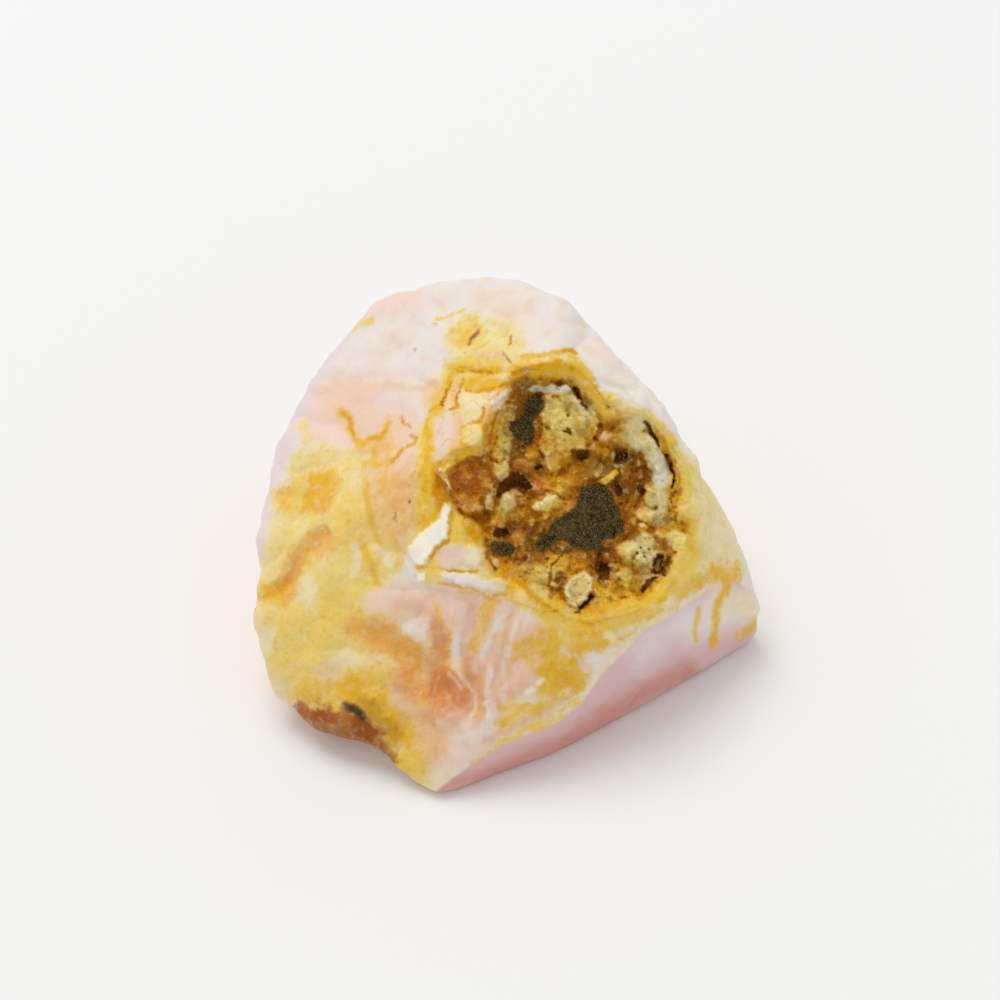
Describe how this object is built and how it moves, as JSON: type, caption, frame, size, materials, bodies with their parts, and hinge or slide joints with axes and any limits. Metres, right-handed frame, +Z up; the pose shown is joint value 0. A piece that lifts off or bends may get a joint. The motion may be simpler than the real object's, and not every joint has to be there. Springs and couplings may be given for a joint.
{
  "type": "rough pink opal",
  "caption": "Palm-size broken lump of pink and honey-yellow common opal on a flat broken foot, with a crusted hollow in its upper front face.",
  "frame": {"origin": "middle of the bounding box, at the level of the flat broken foot", "axes": "+X to the right as the crusted hollow faces the viewer, along the longest side; +Y away from the viewer; +Z up from the foot"},
  "size_m": [0.0365, 0.0341, 0.0228],
  "materials": {
    "opal": "broken, waxy, slightly translucent",
    "crust": "rough, dull"
  },
  "bodies": {
    "root": {"opal_stone": "opal", "pocket_crust": "crust"}
  },
  "joints": []
}
